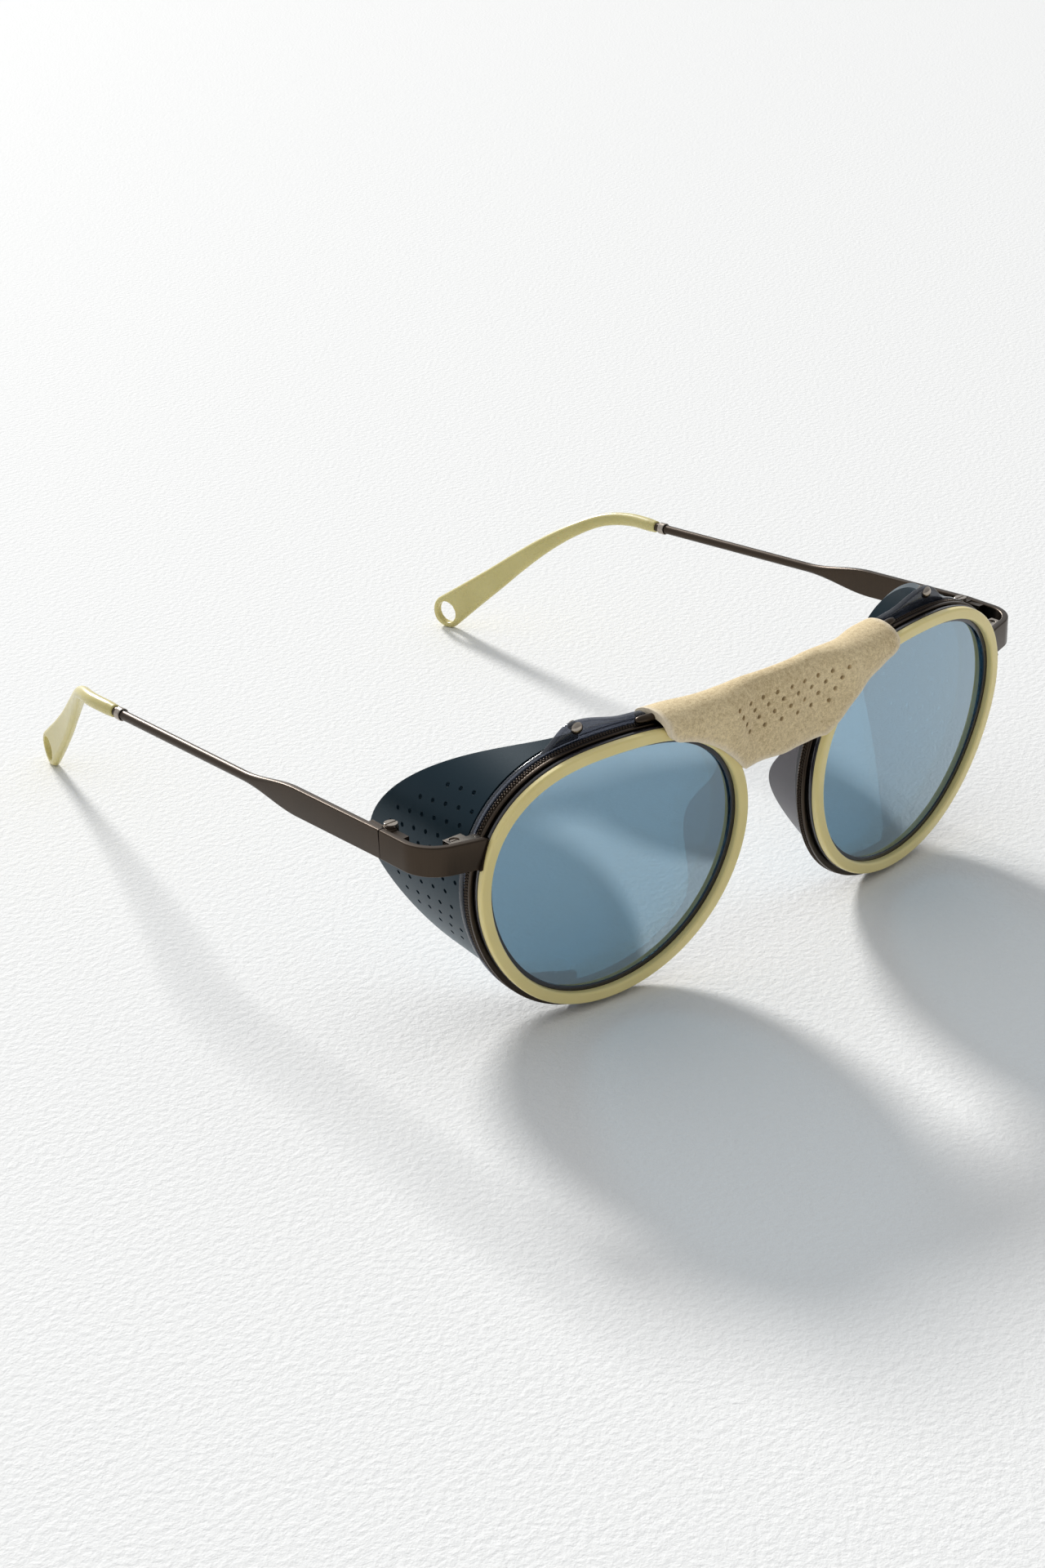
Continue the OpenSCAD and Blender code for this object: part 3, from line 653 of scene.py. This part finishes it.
def makeWing(name, side):
    # A flat sheet of run along the rim by reach behind it, wrapped on the outline and flared out with its reach
    s = wing
    fine = around(400, s["from"], s["to"], False)
    run = runAlong(np.stack(rimPoint(fine, 0 * fine), -1))

    def reach(x):
        return wingLength(np.interp(x, run, fine))

    def inside(p):
        return (p[:, 1] > 0) & (p[:, 1] < reach(p[:, 0])) & (p[:, 0] > 0) & (p[:, 0] < run[-1])

    x, back = np.linspace(0, run[-1], 76), np.linspace(run[-1], 0, 74)
    edge = np.vstack([np.stack([x, reach(x)], -1), np.stack([back, 0 * back], -1)])
    holes = [(at - s["slant"] * (first + k * gap - s["slantFrom"]), first + k * gap)
             for at, first, gap, count in wingHoles for k in range(count)]
    flat, triangles = triangulate(edge, inside, holes, s["hole"], 1.0)
    a = np.interp(flat[:, 0], run, fine)
    off, depth = s["off"] + s["flare"] * flat[:, 1], depths["wing"] + flat[:, 1]
    points, faces = thickSheet(onRim(a, off, depth), onRim(a, off - s["thickness"], depth), triangles)
    return makePiece(name + "_finished", points, faces, "wing", "frame", [name], side, 40,
                     modifiers=[bevel(0.06, 2, 50)])


noseFin = {"from": math.radians(154), "to": math.radians(222), "least": 0.3, "depth": 7.0, "off": -0.8,
           "thickness": 1.1, "thinning": 0.45, "lean": 0.22, "start": 0.02, "rows": 48, "cols": 16}


def makeNoseFin(name, side):
    # A fin behind part of the rim: its reach is a squared half sine wave, and it leans in and thins with its reach
    s = noseFin
    rows, cols = s["rows"], s["cols"]
    a = around(rows, s["from"], s["to"], False)[:, None]
    share = np.linspace(0, 1, cols)
    along = share * (s["least"] + s["depth"] * np.sin(np.pi * (a - s["from"]) / (s["to"] - s["from"])) ** 2)
    off, depth = s["off"] - s["lean"] * along, depths["inner"] + s["start"] + along
    outer, inner = onRim(a, off, depth), onRim(a, off - s["thickness"] * (1 - s["thinning"] * share), depth)
    size = rows * cols
    grid = gridFaces(rows, cols)
    rim = np.concatenate([np.arange(cols), np.arange(2 * cols - 1, size, cols),
                          np.arange(size - 2, size - cols - 1, -1), np.arange(size - 2 * cols, 0, -cols)])
    after = np.roll(rim, -1)
    faces = [grid, grid[:, ::-1] + size, np.stack([after, rim, rim + size, after + size], -1)]
    points = np.vstack([outer.reshape(-1, 3), inner.reshape(-1, 3)])
    return makePiece(name + "_finished", points, faces, "fin", "frame", [name], side, 40, modifiers=[bevel(0.3, 3, 50)])


def bar(path, across, upright, corner, turns=24):
    # A rounded rectangle carried along a path; across, upright and corner give its half sizes and corner radius
    path = np.asarray(path, float)
    way = np.gradient(path, axis=0)
    way /= np.linalg.norm(way, axis=1)[:, None]
    sideways = np.stack([way[:, 1], -way[:, 0], 0 * way[:, 0]], -1)
    sideways /= np.linalg.norm(sideways, axis=1)[:, None]
    up = np.cross(sideways, way)
    phi = 2 * np.pi * (np.arange(turns) + 0.5) / turns
    c, s = np.cos(phi), np.sin(phi)
    across, upright, corner = (np.broadcast_to(np.asarray(given, float), len(path))[:, None]
                               for given in (across, upright, corner))
    x = np.sign(c) * (across - corner) + corner * c
    z = np.sign(s) * (upright - corner) + corner * s
    points = path[:, None] + x[..., None] * sideways[:, None] + z[..., None] * up[:, None]
    return points.reshape(-1, 3), capped(len(path), turns)


def curveThrough(points, per):  # Catmull-Rom: cubic pieces through the points, per steps to a piece
    p = np.asarray(points, float)
    p = np.vstack([2 * p[0] - p[1], p, 2 * p[-1] - p[-2]])
    t = np.linspace(0, 1, per, endpoint=False)[:, None]
    parts = [0.5 * (2 * b + (c - a) * t + (2 * a - 5 * b + 4 * c - d) * t ** 2 + (3 * b - a - 3 * c + d) * t ** 3)
             for a, b, c, d in zip(p, p[1:], p[2:], p[3:])]
    return np.vstack(parts + [p[-2:-1]])


def mirrored(half):  # a path from one end to the middle, made whole by its mirror image
    half = np.asarray(half)
    return np.vstack([half * (-1, 1, 1), half[::-1]])


browBar = {"radius": 0.75, "from": 100, "to": 124, "over": ((12, -1.2, 22.2), (6, -1.6, 22.3), (1.5, -1.6, 22.3)),
           "endRun": 2.2, "endShare": 0.35}


def makeBrowBar():
    # A rod along the top of one eyewire, over the nose and along the other; its ends are quarter ellipses
    s = browBar
    a = np.radians(np.arange(s["from"], s["to"] + 1, 4))
    along = onRim(a, eyewire["band"] + lowness(a) + s["radius"], np.full(len(a), wireMiddle))
    over = [tilted(*point) for point in s["over"]]
    path = curveThrough(mirrored(np.vstack([along, over])), 6)
    run = runAlong(path)
    end = np.minimum(run, run[-1] - run)
    radius = s["radius"] * blendTo(s["endShare"], 1, np.sqrt(1 - np.clip(1 - end / s["endRun"], 0, 1) ** 2))
    points, faces = bar(path, radius, radius, radius, 20)
    makePiece("brow_bar_finished", points, faces, "bronze", "frame", ["brow_bar"], sharp=60)


noseBridge = {"radius": 0.9, "angle": math.radians(150), "offs": (-0.2, 1.2),
              "over": ((6.5, -1.2, 16.6), (3, -1.4, 17.9), (1, -1.4, 18.2))}


def makeNoseBridge():  # a rod that leaves each eyewire outwards and arches over the nose
    s = noseBridge
    ends = [onRim(s["angle"], off, wireMiddle) for off in s["offs"]]
    over = [tilted(*point) for point in s["over"]]
    path = curveThrough(mirrored(np.vstack([ends, over])), 8)
    points, faces = bar(path, s["radius"], s["radius"], s["radius"], 20)
    makePiece("nose_bridge_finished", points, faces, "bronze", "frame", ["nose_bridge"], sharp=60)


plate = {"height": 5.2, "thickness": 1.25, "corner": 0.28, "outside": 70.9, "bend": 7.0, "bendY": 10.1, "turns": 32,
         "flange": math.radians(17), "flangeRun": 6.6, "sink": 0.05, "gap": 0.08, "slopeIn": 0.0375,
         "slopeDown": 0.047, "wire": 0.9, "narrowFrom": 40, "narrowTo": 57, "wireEnd": 98.5}


def makeEndPiece(name, side):
    # An upright plate: a straight flange beside the rim, a round bend and a straight run to the hinge. The flange's
    # first points move inwards until they meet the eyewire's outside.
    s = plate
    middle = s["bend"] - s["thickness"] / 2
    cx, cy = s["outside"] - s["bend"], s["bendY"]
    turn = np.linspace(s["flange"], math.pi / 2, 26)
    arc = np.stack([cx + middle * np.sin(turn), cy - middle * np.cos(turn)], -1)
    back = np.linspace(s["flangeRun"], 0, 12, endpoint=False)[:, None]
    flange = arc[0] - back * (np.cos(s["flange"]), np.sin(s["flange"]))
    straight = np.stack([np.full(6, arc[-1, 0]), np.linspace(cy, hingeY - s["gap"], 7)[1:]], -1)
    flatPath = np.vstack([flange, arc, straight])
    path = np.column_stack([flatPath[:, 0], flatPath[:, 1] + originY, np.full(len(flatPath), lensZ + hingeUp)])
    points, faces = bar(path, s["thickness"] / 2, s["height"] / 2, s["corner"], s["turns"])
    start, ninth = points[:s["turns"]], points[s["turns"] * 8:s["turns"] * 9]
    a = np.radians(np.linspace(-10, 60, 200))
    rim = onRim(a, eyewire["band"] + lowness(a) - s["sink"], np.full(len(a), wireMiddle))
    start[:, 0] = np.minimum(np.interp(start[:, 2], rim[:, 2], rim[:, 0]), ninth[:, 0])
    makePiece(name + "_finished", points, faces, "bronze", "frame", [name], side, 50)


def barLine(y):  # middle line of the temple at depth y, which slopes in and down evenly
    return np.stack([plate["outside"] - plate["thickness"] / 2 - plate["slopeIn"] * (y - hingeY), y + originY,
                     lensZ + hingeUp - plate["slopeDown"] * (y - hingeY)], -1)


def makeTemple(name, body, side):  # a plate whose half sizes and corners blend into a round wire's radius
    s = plate
    low, high = s["narrowFrom"], s["narrowTo"]
    y = np.concatenate([np.linspace(hingeY + s["gap"], low, 12, endpoint=False), np.linspace(low, high, 24),
                        np.linspace(high + 3, s["wireEnd"], 12)])
    narrow = smooth((y - low) / (high - low - 1))
    across = blendTo(s["thickness"] / 2, s["wire"], narrow)
    upright = blendTo(s["height"] / 2, s["wire"], narrow)
    rounder = blendTo(s["corner"], s["wire"], smooth((y - low) / (high - low - 3)))
    corner = np.minimum(rounder, np.minimum(across, upright))
    points, faces = bar(barLine(y), across, upright, corner, s["turns"])
    makePiece(name + "_finished", points, faces, "bronze", body, [name], side, 50)


tip = {"path": ((65.0, 112.5, 31.2), (62.2, 118.5, 28.2), (59.5, 124.5, 24.1), (57.2, 130.5, 19.3),
                (55.2, 136.5, 14.2), (53.3, 143.0, 8.9), (51.7, 149.5, 3.68)),
       "lensHeight": 26.37, "from": 98.0, "second": 106.0, "radius": 1.35, "flat": 0.95, "wide": 3.75, "lip": 0.88,
       "eyelet": 2.5, "voxel": 0.17}


def makeTip(name, body, side):
    # A rod along a curve that starts on the temple's line, blends from round to flat and wide, and ends in a half
    # circle round its eyelet. Remeshing rounds the edges that the bore leaves.
    s = tip
    bends = np.array([(x, y + originY, z + lensZ - s["lensHeight"]) for x, y, z in s["path"]])
    path = curveThrough(np.vstack([barLine(np.array([s["from"], s["second"]])), bends]), 16)
    k = np.linspace(0, 1, len(path))
    thick = blendTo(s["radius"], s["flat"], smooth((k - 0.25) / 0.5))
    wide = blendTo(s["radius"], s["wide"], np.clip((k - 0.3) / 0.7, 0, 1) ** 1.5)
    lip = np.linspace(s["lip"], 1, 5)[:4]
    thick[:4] *= lip
    wide[:4] *= lip
    eye = path[-1]
    heading = unit(path[-1] - path[-2])
    a = np.radians([12, 24, 36, 48, 60, 70, 78, 84])
    path = np.vstack([path, eye + s["wide"] * np.sin(a)[:, None] * heading])
    thick = np.concatenate([thick, s["flat"] - np.degrees(a) / 260])
    wide = np.concatenate([wide, s["wide"] * np.cos(a)])
    points, faces = bar(path, thick, wide, np.minimum(thick, wide), 28)
    piece = makePiece(name + "_finished", points, faces, "tip", body, [name], side)
    cutter = makeBore(eye, heading, s["eyelet"], side)
    cut = piece.modifiers.new("Cut", "BOOLEAN")
    cut.operation, cut.object, cut.solver = "DIFFERENCE", cutter, "EXACT"
    soft = piece.modifiers.new("Remesh", "REMESH")
    soft.mode, soft.voxel_size, soft.use_smooth_shade = "VOXEL", s["voxel"] * mm, True
    relax = piece.modifiers.new("Smooth", "SMOOTH")
    relax.factor, relax.iterations = 0.5, 6
    bpy.context.view_layer.update()
    shaped = bpy.data.meshes.new_from_object(piece.evaluated_get(bpy.context.evaluated_depsgraph_get()))
    piece.modifiers.clear()
    piece.data = shaped
    piece.data.shade_smooth()
    bpy.data.objects.remove(cutter)
    return piece


def makeBore(eye, heading, radius, side):  # a cylinder through the eye, level and across the heading
    mesh = bpy.data.meshes.new("bore")
    work = bmesh.new()
    spin = Vector((heading[1], -heading[0], 0)).to_track_quat("Z", "Y").to_matrix().to_4x4()
    bmesh.ops.create_cone(work, cap_ends=True, segments=64, radius1=radius * mm, radius2=radius * mm, depth=8 * mm,
                          matrix=Matrix.Translation(Vector(eye) * mm) @ spin)
    work.to_mesh(mesh)
    work.free()
    if side < 0:
        mesh.transform(Matrix.Scale(-1, 4, (1, 0, 0)))
        turnOut(mesh)
    cutter = bpy.data.objects.new("bore", mesh)
    bpy.context.scene.collection.objects.link(cutter)
    return cutter


cover = {"half": 27.3, "thickness": 1.3, "rise": 1.6, "fold": 8.0, "corner": 2.4, "hole": 0.42,
         "wide": 27.5, "run": 17.5, "top": 25.0, "topAside": 24.3, "low": 11.0, "lowRise": 10.2,
         "end": 13.5, "endRise": 8, "front": -1.5, "back": 5.2, "backMiddle": 3.6, "sag": 2.2, "edge": 1.1,
         "rows": ((23.3, 13.0, 9), (21.6, 11.85, 8), (19.8, 10.6, 7), (17.9, 9.35, 6))}  # height, half width, holes


def coverWide(x):  # 1 in the middle, falling as a parabola to 0 near the sides
    return np.clip((cover["wide"] - np.abs(x)) / cover["run"], 0, 1) ** 2


def coverCorner(x):  # how far a round corner has come in at x
    into = np.clip(np.abs(x) - (cover["half"] - cover["corner"]), 0, cover["corner"])
    return cover["corner"] - np.sqrt(np.maximum(0, cover["corner"] ** 2 - into ** 2))


def coverTop(x):  # height at which the front turns over, a little lower at the sides
    return blendTo(cover["top"], cover["topAside"], smooth((np.abs(x) - 8) / 14)) - cover["rise"]


def coverLow(x):  # height of the front's lower edge, lowest over the nose
    return cover["low"] + cover["lowRise"] * (1 - coverWide(x)) + coverCorner(x)


def coverEnd(x):  # where the back's lower edge is, counted up the front, over the fold and down the back
    height = cover["end"] + cover["endRise"] * (1 - coverWide(x)) + coverCorner(x)
    return 2 * coverTop(x) + cover["fold"] - height


def coverPoint(x, q, out):
    # q runs up the front to the fold, half way round an ellipse, and down the back; out is towards the outside.
    # The front follows both rings and sinks between them; two slow waves keep the hide from being quite flat.
    s = cover
    top = coverTop(x)
    y = (np.sqrt(x * x + 16) - lensPlace["x"]) * math.tan(lensPlace["wrap"])
    front = y + s["front"] + s["sag"] * (1 - smooth((np.abs(x) - 6) / 9))
    back = y + blendTo(s["backMiddle"], s["back"], smooth((np.abs(x) - 14) / 10))
    over = np.clip((q - top) / s["fold"], 0, 1)
    a = np.pi * (1 - over)
    depth = (front + back) / 2 + ((back - front) / 2 + out) * np.cos(a)
    rise = (s["rise"] + out) * np.sin(a)
    height = np.where(q < top, q, np.where(over < 1, top + rise, 2 * top + s["fold"] - q))
    soft = 0.10 * np.sin(0.9 * x + 0.5 * q) + 0.08 * np.sin(0.47 * x - 0.8 * q + 1.0)
    return tilted(x, depth + soft * np.where(q < top, 1, 0.3), height)


def makeCover():
    # One flat sheet of hide, x across by q along, with rows of holes, folded by coverPoint and thickened
    s = cover
    inner = 24.8  # where the corners' finer steps start
    x = np.concatenate([np.linspace(-s["half"], -inner, 10, endpoint=False), np.linspace(-inner, inner, 70),
                        np.linspace(inner, s["half"], 11)[1:]])
    way = np.linspace(0, 1, 30)[1:-1]
    up = np.stack([np.full(28, s["half"]), blendTo(coverLow(x[-1]), coverEnd(x[-1]), way)], -1)
    edge = np.vstack([np.stack([x, coverLow(x)], -1), up, np.stack([x[::-1], coverEnd(x[::-1])], -1),
                      up[::-1] * (-1, 1)])

    def inside(p):
        return (np.abs(p[:, 0]) < s["half"]) & (p[:, 1] > coverLow(p[:, 0])) & (p[:, 1] < coverEnd(p[:, 0]))

    holes = [(at, q) for q, reach, count in s["rows"] for at in np.linspace(-reach, reach, count)]
    flat, triangles = triangulate(edge, inside, holes, s["hole"], 0.9)
    # rim is 1 along the edge, where the suede's painted edge highlight goes, and at least 0.2 all over the inner face
    rim = smooth(1 - nearest(flat, edge) / s["edge"])
    points, faces = thickSheet(coverPoint(*flat.T, s["thickness"]), coverPoint(*flat.T, 0.0), triangles)
    piece = makePiece("nose_cover_finished", points, faces, "suede", "frame", ["nose_cover"], sharp=60,
                      rim=np.concatenate([rim, np.maximum(rim, 0.2)]), modifiers=[bevel(0.3, 3, 50)])
    corners = flat[triangles]
    area = abs(np.cross(corners[:, 1] - corners[:, 0], corners[:, 2] - corners[:, 0])).sum() / 2
    width, length = 2 * s["half"] * mm, float((coverEnd(x) - coverLow(x)).max()) * mm


softEdges = {"closing_block": ("polished", 0.2), "rim_screw": ("polished", 0.08), "hinge_screw": ("polished", 0.1),
             "front_hinge": ("bronze", 0.12), "temple_hinge": ("bronze", 0.12), "temple_collar": ("polished", 0.15)}

for word, side in rightLeft:
    makeCreamRing(word + "_front_rim", side)
    makeSmokeRim(word + "_inner_rim", side)
    makeEyewire(word + "_eyewire", side)
    makeLens(word + "_lens", side)
    makeCarrier(word + "_shield_carrier", side)
    makePin(word + "_shield_pin", side)
    makeNoseFin(word + "_nose_flange", side)
    makeEndPiece(word + "_end_piece", side)
    makeTemple(word + "_temple", word + "_temple", side)
    makeTip(word + "_temple_tip", word + "_temple", side)
    flank = makeWing(word + "_shield_wing", side)
    # Where the wing's root is and a point one millimetre behind it; the wing then gets a mesh of its own
    root, behind = (np.array(onRim(0.4, 0.0, depths["wing"] + step)) * (side * mm, mm, mm) for step in (0, 1))
    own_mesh(flank)
    for part, (finish, width) in softEdges.items():
        softened(word + "_" + part, finish, width)
    print(word, "side made")
makeBrowBar()
makeNoseBridge()
makeCover()
print("middle made")


studio = {"floor": 3.0, "skyFront": 0.33, "skyBack": 0.78, "skyColour": (0.96, 0.98, 1.0, 1),
          "sunColour": (1.0, 0.985, 0.96), "sun": 3.05, "sunWidth": math.radians(11), "sunFrom": (0.58, 1.9, 1.0)}


def makeFloor():
    h = studio["floor"] / 2
    mesh = bpy.data.meshes.new("floor")
    mesh.from_pydata([(-h, -h, 0), (h, -h, 0), (h, h, 0), (-h, h, 0)], [], [(0, 1, 2, 3)])
    floor = bpy.data.objects.new("floor", mesh)
    mesh.materials.append(paper())
    bpy.context.scene.collection.objects.link(floor)


def makeLight():  # one wide lamp from behind, and a sky that is brighter towards the back
    world = bpy.data.worlds.new("studio")
    world.use_nodes = True
    tree = world.node_tree
    sky = tree.nodes["Background"]
    ramp = tree.nodes.new("ShaderNodeMapRange")
    ends = {"From Min": -1, "From Max": 1, "To Min": studio["skyFront"], "To Max": studio["skyBack"]}
    for slot, given in ends.items():
        ramp.inputs[slot].default_value = given
    split = tree.nodes.new("ShaderNodeSeparateXYZ")
    tree.links.new(tree.nodes.new("ShaderNodeTexCoord").outputs["Generated"], split.inputs[0])
    tree.links.new(split.outputs["Y"], ramp.inputs["Value"])
    tree.links.new(ramp.outputs[0], sky.inputs["Strength"])
    sky.inputs["Color"].default_value = studio["skyColour"]
    bpy.context.scene.world = world
    lamp = bpy.data.lights.new("window", "SUN")
    lamp.energy, lamp.color, lamp.angle = studio["sun"], studio["sunColour"], studio["sunWidth"]
    sun = bpy.data.objects.new("window", lamp)
    sun.rotation_mode = "QUATERNION"
    sun.rotation_quaternion = Vector(studio["sunFrom"]).to_track_quat("Z", "Y")
    bpy.context.scene.collection.objects.link(sun)


view = {"place": (-309.130, -302.663, 235.720), "right": (0.75562, -0.65437, -0.02904),
        "up": (0.30130, 0.30787, 0.90246), "back": (-0.58160, -0.69067, 0.42979), "lens": 64.13}


def makeCamera():
    lensData = bpy.data.cameras.new("camera")
    lensData.lens, lensData.sensor_width = view["lens"], 36
    lensData.clip_start, lensData.clip_end = 0.01, 20
    camera = bpy.data.objects.new("camera", lensData)
    turn = Matrix((view["right"], view["up"], view["back"])).transposed().to_4x4()
    x, y, z = view["place"]
    camera.matrix_world = Matrix.Translation(Vector((x, y + originY, z)) * mm) @ turn
    bpy.context.scene.collection.objects.link(camera)
    bpy.context.scene.camera = camera


makeFloor()
makeLight()
makeCamera()
bpy.context.scene.view_settings.view_transform = "Standard"
print("studio ready")
